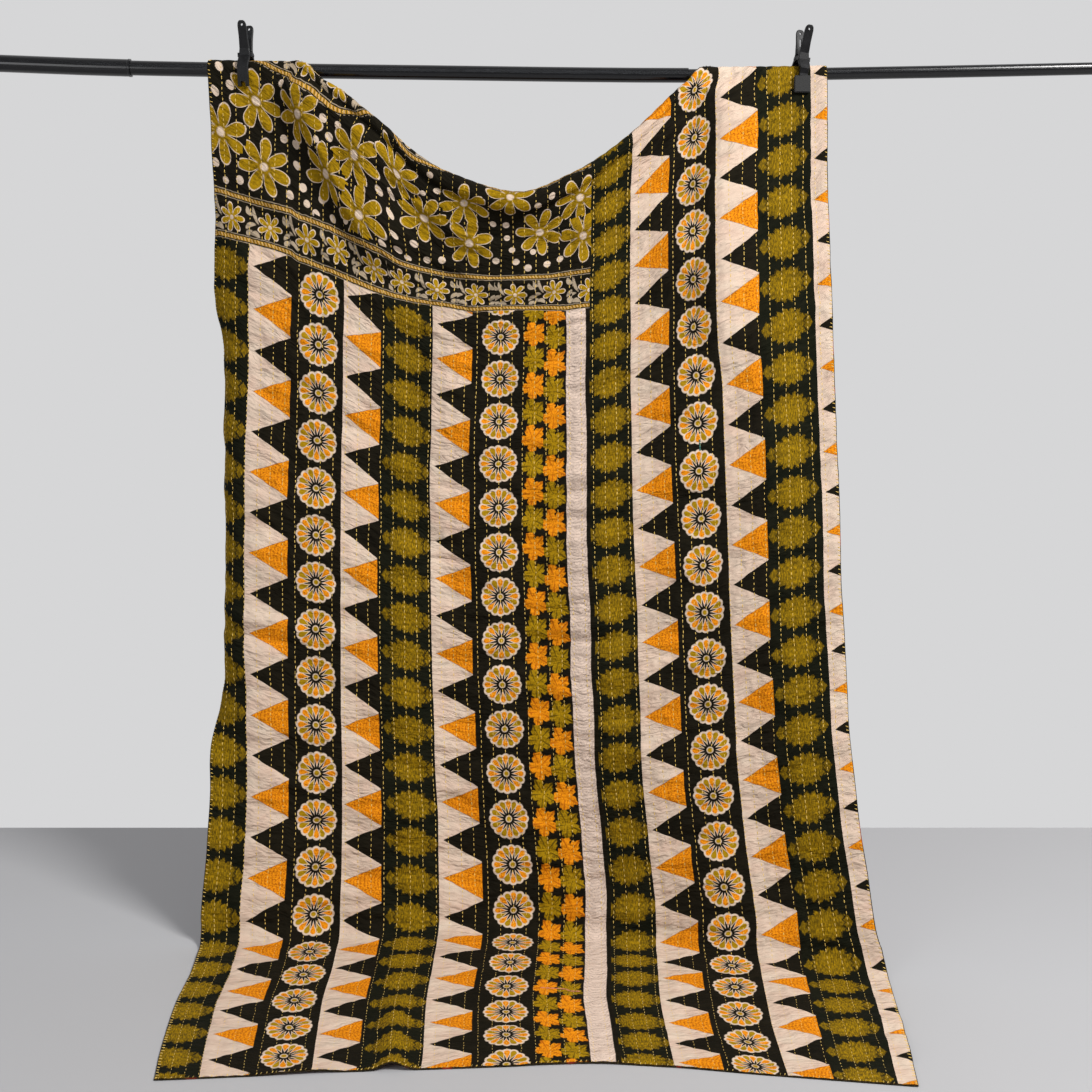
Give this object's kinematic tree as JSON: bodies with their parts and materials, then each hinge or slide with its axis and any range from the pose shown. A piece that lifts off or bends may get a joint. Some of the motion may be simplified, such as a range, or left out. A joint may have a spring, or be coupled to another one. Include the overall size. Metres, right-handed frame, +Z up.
{
  "type": "kantha quilt hung on a telescopic rod with clips",
  "caption": "Stitched patchwork kantha quilt clipped over a thin telescopic rod, drooping between its clips, with its foot lying on the floor.",
  "frame": {"origin": "on the floor, under the middle of the whole object's bounding box", "axes": "+Z up, the rod along X, the quilt's face towards -Y"},
  "size_m": [2.36, 0.9109, 1.8931],
  "materials": {
    "cotton": "printed and hand-stitched cotton, matte",
    "tube": "satin black paint",
    "clip": "moulded, slightly shiny",
    "pad": "matte"
  },
  "bodies": {
    "root": {"quilt": "cotton", "rod_outer_tube": "tube", "rod_middle_tube": "tube", "rod_inner_tube": "tube", "left_clip_front_lever": "clip", "left_clip_back_lever": "clip", "left_clip_pin": "clip", "left_clip_spring": "clip", "right_clip_front_lever": "clip", "right_clip_back_lever": "clip", "right_clip_pin": "clip", "right_clip_spring": "clip", "right_clip_front_pad": "pad", "right_clip_back_pad": "pad"}
  },
  "joints": []
}
